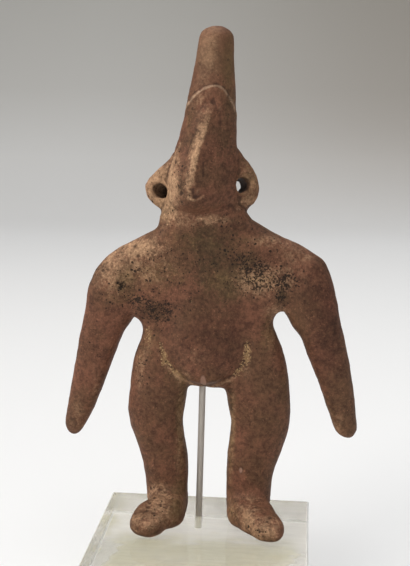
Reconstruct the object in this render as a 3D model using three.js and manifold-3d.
// A flat fired-clay figure with a tall conical head, held over a clear block by a thin rod.
// Millimetres, +Z up, the figure faces -Y. The origin is the centre of the block's underside.
import * as THREE from "three";
import { mergeVertices } from "three/addons/utils/BufferGeometryUtils.js";
import Module from "manifold-3d";

const wasm = await Module();
wasm.setup();

const INCH = 25.4;
const FRONT = new THREE.Vector3(0, -1, 0);
const UP = new THREE.Vector3(0, 0, 1);
const DOWN = new THREE.Vector3(0, 0, -1);

// The stand: a clear block three inches square and one inch thick, and a 3/32 inch rod
const BLOCK_WIDTH = 3 * INCH;
const BLOCK_DEPTH = 3 * INCH;
const BLOCK_HEIGHT = INCH;
const BLOCK_BEVEL = 0.5;
const ROD_RADIUS = (3 / 64) * INCH;
const ROD_SIDES = 24;
const ROD_X = -2.4;
const ROD_TO_BLOCK_BACK = 17.7;
const ROD_LEAN_DEG = 1.15;
const SOCKET_DEPTH = BLOCK_HEIGHT / 2;
const FIT_GAP = 0.3;

// The figure's own sizes, from the top of the block upwards, with X = 0 on the rod
const CROTCH_Z = 50;
const ROD_HOLE_DEPTH = 18;
const CLEAR_BELOW = 10;
const EAR_HOLE_RADIUS = 2.5;
const EAR_HOLE_LENGTH = 40;
const EAR_HOLE_SIDES = 16;

// How finely a coil is drawn
const RING_STEP = 4;
const CAP_RINGS = 4;
const CURVE_TENSION = 0.5;
const CURVE_DIVISIONS = 400;
const SAME_POINT = 1e-4;

// Each coil of clay has a line of stations [x, y, z, half width, over, under]: over and under are
// how far it stands out on each side of that point, forwards and backwards on a body coil, and
// upwards and downwards on a foot. caps are the lengths of its two rounded ends. On a level coil the
// width is always measured straight across. slant is how far the front is pushed sideways at its end.
const TORSO = {
  level: true,
  sides: 26,
  squareness: 2.8,
  caps: [2, 5],
  stations: [
    [3.4, 0, 117, 8.2, 6.2, 6.0],
    [3.0, 0, 111.6, 11.8, 6.6, 6.2],
    [2.8, 0, 108, 18.0, 6.8, 6.4],
    [4.3, 0, 102, 30.2, 7.0, 6.5],
    [3.4, 0, 96, 39.0, 7.2, 6.5],
    [2.5, 0, 90, 38.5, 7.5, 6.5],
    [0.8, 0, 81, 30.8, 7.6, 6.5],
    [-0.9, 0, 78.6, 26.2, 7.8, 6.5],
    [-0.6, 0, 75.8, 24.8, 7.8, 6.5],
    [1.2, 0, 73.2, 23.4, 7.8, 6.5],
    [1.6, 0, 65, 24.0, 7.6, 6.8],
    [1.8, 0, 60, 23.0, 7.4, 7.0],
    [1.8, 0, 55, 19.0, 7.2, 7.0],
    [1.8, 0, CROTCH_Z, 13.6, 7.0, 6.6],
  ],
};
const BELLY = {
  sides: 20,
  squareness: 2.2,
  caps: [6, 5],
  stations: [
    [0.9, 0, 100, 20.0, 6.4, 3],
    [0.9, 0, 90, 21.0, 8.0, 3],
    [0.7, 0, 71, 16.8, 10.6, 3],
    [0.7, 0, 63, 15.4, 11.3, 3],
    [0.9, 0, 57, 12.8, 11.1, 3],
    [1.1, 0, CROTCH_Z + 1.2, 8.8, 9.8, 3],
  ],
};
const HEAD = {
  sides: 20,
  squareness: 2.2,
  caps: [3.8, 3],
  stations: [
    [1.5, 0.5, 176.2, 5.5, 5.2, 5.0],
    [0.4, 0.2, 146, 8.6, 7.5, 7.0],
    [-1.6, 0, 122, 12.0, 8.0, 7.3],
    [-1.9, 0, 110, 15.2, 7.2, 6.8],
    [-1.6, 0, 104, 16.0, 6.8, 6.4],
  ],
};
const FACE = {
  slant: -3.4,
  sides: 20,
  squareness: 1.5,
  caps: [3, 6],
  stations: [
    [1.2, 0, 153, 5.0, 7.0, 3],
    [-0.2, -1.4, 137, 9.8, 9.6, 3],
    [-1.4, -2.8, 122, 11.8, 12.0, 3],
    [-1.6, -2.4, 112, 11.0, 9.0, 3],
  ],
};
const NOSE = {
  sides: 10,
  squareness: 2,
  caps: [2, 1.6],
  stations: [
    [1.0, -6.2, 151, 1.0, 0.8, 1.6],
    [-0.5, -8.6, 143, 1.3, 0.9, 1.6],
    [-2.0, -11.0, 136, 1.6, 0.9, 1.6],
    [-3.4, -13.2, 127, 1.9, 1.0, 1.6],
    [-3.7, -14.2, 120.4, 2.2, 1.0, 1.6],
  ],
};
const EAR_LEFT = {
  ringStep: 2,
  sides: 14,
  squareness: 2.2,
  caps: [3, 3],
  stations: [
    [-10.8, 1.2, 134, 1.2, 2.8, 2.8],
    [-11.4, 1.2, 130.5, 2.2, 3.1, 3.1],
    [-12.4, 1.2, 126.2, 5.0, 3.4, 3.4],
    [-13.0, 1.2, 121, 9.2, 3.6, 3.4],
    [-12.6, 1.2, 117.4, 7.9, 3.6, 3.6],
    [-11.6, 1.2, 113.4, 4.6, 3.6, 3.6],
    [-11.2, 1.2, 108, 5.4, 3.6, 3.6],
  ],
};
const EAR_RIGHT = {
  ringStep: 2,
  sides: 14,
  squareness: 2.2,
  caps: [3, 3],
  stations: [
    [8.0, 1.2, 136.5, 1.4, 2.8, 2.8],
    [8.6, 1.2, 131.8, 3.4, 3.1, 3.1],
    [9.4, 1.2, 127, 6.6, 3.4, 3.4],
    [9.6, 1.2, 122, 8.1, 3.6, 3.4],
    [9.2, 1.2, 118, 7.2, 3.6, 3.6],
    [8.2, 1.2, 113.5, 4.2, 3.6, 3.6],
    [7.6, 1.2, 109, 4.4, 3.6, 3.6],
  ],
};
const ARM_LEFT = {
  sides: 16,
  squareness: 2.4,
  caps: [5, 4.5],
  stations: [
    [-17.6, 0, 96.4, 5.0, 4.8, 4.6],
    [-27.4, 0, 92.6, 7.4, 6.6, 6.3],
    [-32.3, 0, 86.5, 8.8, 6.8, 6.4],
    [-33.6, 0, 78, 9.3, 6.6, 6.2],
    [-36.7, 0, 69, 7.6, 6.2, 5.8],
    [-44.0, 0, 42, 5.1, 4.5, 4.3],
    [-46.4, 0, 34.6, 3.9, 3.9, 3.8],
    [-47.6, 0, 28.2, 2.8, 3.2, 3.2],
  ],
};
const ARM_RIGHT = {
  sides: 16,
  squareness: 2.4,
  caps: [5, 3.4],
  stations: [
    [22.6, 0, 96.6, 5.0, 4.8, 4.6],
    [33.6, 0, 93.8, 8.0, 6.6, 6.3],
    [36.9, 0, 86.3, 8.7, 6.8, 6.4],
    [38.8, 0, 78, 9.0, 6.6, 6.2],
    [41.4, 0, 73.4, 7.4, 6.4, 6.0],
    [42.5, 0, 69, 7.3, 6.2, 5.8],
    [48.5, 0, 51, 5.6, 5.0, 4.8],
    [52.0, 0, 37, 4.0, 3.9, 3.8],
    [51.8, 0, 33.8, 2.9, 3.4, 3.4],
  ],
};
const LEG_LEFT = {
  sides: 18,
  squareness: 2.2,
  caps: [5, 2.5],
  stations: [
    [-11.6, 0, 76, 8.4, 6.0, 6.0],
    [-12.7, 0, 66, 9.8, 7.0, 6.8],
    [-14.8, 0, 56, 10.7, 7.7, 7.4],
    [-16.4, 0, 40, 10.3, 8.0, 7.5],
    [-15.4, -0.2, 33, 9.2, 7.6, 7.2],
    [-12.3, -1.2, 19, 8.2, 6.8, 6.4],
    [-11.4, -2.2, 3.0, 7.2, 6.4, 6.0],
  ],
};
const LEG_RIGHT = {
  sides: 18,
  squareness: 2.2,
  caps: [5, 2.5],
  stations: [
    [14.2, 0, 76, 9.0, 6.0, 6.0],
    [16.0, 0, 66, 11.0, 7.0, 6.8],
    [18.7, 0, 56, 11.7, 7.7, 7.4],
    [21.3, 0, 40, 10.9, 8.0, 7.5],
    [20.6, -0.2, 33, 10.1, 7.6, 7.2],
    [18.2, -1.2, 19, 8.6, 6.8, 6.4],
    [18.4, -2.2, 3.0, 7.8, 6.4, 6.0],
  ],
};
const FOOT_LEFT = {
  sides: 16,
  squareness: 3.4,
  caps: [4, 5],
  stations: [
    [-9.6, 5.0, 6.2, 5.2, 4.6, 4.4],
    [-10.0, -3, 6.4, 6.2, 6.2, 4.9],
    [-11.2, -10.6, 6.2, 6.8, 5.4, 4.9],
    [-15.0, -17.6, 5.8, 6.0, 4.0, 4.2],
    [-18.2, -26.0, 5.2, 6.0, 3.0, 4.6],
  ],
};
const FOOT_RIGHT = {
  sides: 16,
  squareness: 3.4,
  caps: [4, 5],
  stations: [
    [15.4, 5.0, 6.2, 5.2, 4.6, 4.4],
    [17.6, -3, 6.6, 7.2, 6.4, 5.1],
    [20.4, -9.6, 6.4, 6.8, 5.4, 5.2],
    [24.9, -15.8, 5.8, 5.2, 4.0, 4.3],
    [28.2, -23.0, 5.0, 5.8, 3.2, 4.2],
  ],
};

// Each ear hole is pierced slantwise, from a point on the front of the ear towards the nape
const EAR_HOLES = [
  { mouth: [-17.5, -3, 120.5], towards: [0.85, 1, -0.3] },
  { mouth: [12.4, -3, 123.5], towards: [-0.6, 1, -0.25] },
];

const CLAY = { color: 0x7a5745, roughness: 0.72, metalness: 0 };
const STEEL = { color: 0x9c948b, roughness: 0.45, metalness: 0.8 };
const CLEAR = { color: 0xe4e6e2, roughness: 0.05, metalness: 0, transparent: true, opacity: 0.35 };

// Joining and cutting

function toSolid(geometry) {
  const shell = geometry.clone();
  shell.deleteAttribute("normal");
  shell.deleteAttribute("uv");
  const merged = mergeVertices(shell, SAME_POINT);
  return new wasm.Manifold(
    new wasm.Mesh({
      numProp: 3,
      vertProperties: merged.attributes.position.array,
      triVerts: new Uint32Array(merged.index.array),
    }),
  );
}

function toGeometry(solid) {
  const mesh = solid.getMesh();
  const geometry = new THREE.BufferGeometry();
  geometry.setAttribute("position", new THREE.BufferAttribute(mesh.vertProperties, 3));
  geometry.setIndex(new THREE.BufferAttribute(mesh.triVerts, 1));
  geometry.computeVertexNormals();
  return geometry;
}

function rounded(value, squareness) {
  return Math.sign(value) * Math.abs(value) ** (2 / squareness);
}

// The side view of a round coil of unit radius, from one rounded end to the other
function coilProfile(length, [startCap, endCap], ringStep) {
  const profile = [];
  for (let i = 0; i <= CAP_RINGS; i++) {
    const angle = (i / CAP_RINGS) * (Math.PI / 2);
    profile.push(new THREE.Vector2(Math.sin(angle), startCap * (1 - Math.cos(angle))));
  }
  const straight = length - startCap - endCap;
  const steps = Math.max(1, Math.round(straight / ringStep));
  for (let i = 1; i < steps; i++) {
    profile.push(new THREE.Vector2(1, startCap + (straight * i) / steps));
  }
  for (let i = CAP_RINGS; i >= 0; i--) {
    const angle = (i / CAP_RINGS) * (Math.PI / 2);
    profile.push(new THREE.Vector2(Math.sin(angle), length - endCap * (1 - Math.cos(angle))));
  }
  return profile;
}

function curveThrough(points) {
  return new THREE.CatmullRomCurve3(points, false, "catmullrom", CURVE_TENSION);
}

// A coil turned round on the lathe, then bent along its stations and pressed flat across `flat`
function coil({ stations, sides, squareness, caps, level, slant = 0, ringStep = RING_STEP }, flat = FRONT) {
  const line = curveThrough(stations.map(([x, y, z]) => new THREE.Vector3(x, y, z)));
  const girth = curveThrough(stations.map(([, , , ...sizes]) => new THREE.Vector3(...sizes)));
  line.arcLengthDivisions = CURVE_DIVISIONS;
  const length = line.getLength();
  const geometry = new THREE.LatheGeometry(coilProfile(length, caps, ringStep), sides);
  const position = geometry.attributes.position;
  for (let i = 0; i < position.count; i++) {
    const along = THREE.MathUtils.clamp(position.getY(i) / length, 0, 1);
    const t = line.getUtoTmapping(along);
    const centre = line.getPoint(t);
    const { x: wide, y: over, z: under } = girth.getPoint(t);
    const tangent = level ? DOWN.clone() : line.getTangent(t);
    const sideways = tangent.cross(flat).normalize();
    const radius = Math.hypot(position.getX(i), position.getZ(i));
    const across = radius > 0 ? rounded(position.getX(i) / radius, squareness) * radius : 0;
    const through = radius > 0 ? rounded(position.getZ(i) / radius, squareness) * radius : 0;
    centre.addScaledVector(sideways, across * wide);
    centre.addScaledVector(flat, through * (through > 0 ? over : under));
    centre.x += slant * along * Math.max(through, 0);
    position.setXYZ(i, centre.x, centre.y, centre.z);
  }
  return toSolid(geometry);
}

// A round bar from one point to another, as a cutting tool or as the rod
function bar(from, to, radius, sides) {
  const along = new THREE.Vector3().subVectors(to, from);
  const geometry = new THREE.CylinderGeometry(radius, radius, along.length(), sides);
  geometry.applyQuaternion(
    new THREE.Quaternion().setFromUnitVectors(new THREE.Vector3(0, 1, 0), along.clone().normalize()),
  );
  geometry.translate(...along.multiplyScalar(0.5).add(from).toArray());
  return geometry;
}

// The three pieces

function makeFigure() {
  const onTheTorso = [BELLY, HEAD, FACE, NOSE, EAR_LEFT, EAR_RIGHT, ARM_LEFT, ARM_RIGHT, LEG_LEFT, LEG_RIGHT];
  const lyingDown = [FOOT_LEFT, FOOT_RIGHT];
  let clay = coil(TORSO);
  for (const part of onTheTorso) {
    clay = clay.add(coil(part));
  }
  for (const part of lyingDown) {
    clay = clay.add(coil(part, UP));
  }
  for (const { mouth, towards } of EAR_HOLES) {
    const centre = new THREE.Vector3(...mouth);
    const half = new THREE.Vector3(...towards).setLength(EAR_HOLE_LENGTH / 2);
    const stick = bar(centre.clone().sub(half), centre.clone().add(half), EAR_HOLE_RADIUS, EAR_HOLE_SIDES);
    clay = clay.subtract(toSolid(stick));
  }
  const holeFoot = new THREE.Vector3(0, 0, CROTCH_Z - CLEAR_BELOW);
  const holeEnd = new THREE.Vector3(0, 0, CROTCH_Z + ROD_HOLE_DEPTH + FIT_GAP);
  clay = clay.subtract(toSolid(bar(holeFoot, holeEnd, ROD_RADIUS + FIT_GAP, ROD_SIDES)));
  return toGeometry(clay);
}

function makeRod() {
  const foot = new THREE.Vector3(0, 0, -SOCKET_DEPTH);
  const tip = new THREE.Vector3(0, 0, CROTCH_Z + ROD_HOLE_DEPTH);
  return bar(foot, tip, ROD_RADIUS, ROD_SIDES);
}

function makeBlock(rodPlace) {
  const halfWidth = BLOCK_WIDTH / 2 - BLOCK_BEVEL;
  const halfDepth = BLOCK_DEPTH / 2 - BLOCK_BEVEL;
  const plan = new THREE.Shape();
  plan.moveTo(-halfWidth, -halfDepth);
  plan.lineTo(halfWidth, -halfDepth);
  plan.lineTo(halfWidth, halfDepth);
  plan.lineTo(-halfWidth, halfDepth);
  plan.closePath();
  const slab = new THREE.ExtrudeGeometry(plan, {
    depth: BLOCK_HEIGHT - 2 * BLOCK_BEVEL,
    bevelThickness: BLOCK_BEVEL,
    bevelSize: BLOCK_BEVEL,
    bevelSegments: 1,
  });
  slab.translate(0, 0, BLOCK_BEVEL);
  const socketEnd = new THREE.Vector3(0, 0, -SOCKET_DEPTH - FIT_GAP);
  const socketMouth = new THREE.Vector3(0, 0, SOCKET_DEPTH);
  const socket = bar(socketEnd, socketMouth, ROD_RADIUS + FIT_GAP, ROD_SIDES);
  socket.applyMatrix4(rodPlace);
  return toGeometry(toSolid(slab).subtract(toSolid(socket)));
}

function piece(name, geometry, finish) {
  const mesh = new THREE.Mesh(geometry, new THREE.MeshStandardMaterial(finish));
  mesh.name = name;
  return mesh;
}

// The figure and its rod lean together, a little to the figure's left
const leaning = new THREE.Group();
leaning.position.set(ROD_X, BLOCK_DEPTH / 2 - ROD_TO_BLOCK_BACK, BLOCK_HEIGHT);
leaning.rotation.y = THREE.MathUtils.degToRad(ROD_LEAN_DEG);
leaning.updateMatrix();
leaning.add(piece("clay_figure", makeFigure(), CLAY));
leaning.add(piece("support_rod", makeRod(), STEEL));

const model = new THREE.Group();
model.add(piece("clear_block", makeBlock(leaning.matrix), CLEAR));
model.add(leaning);

export default model;
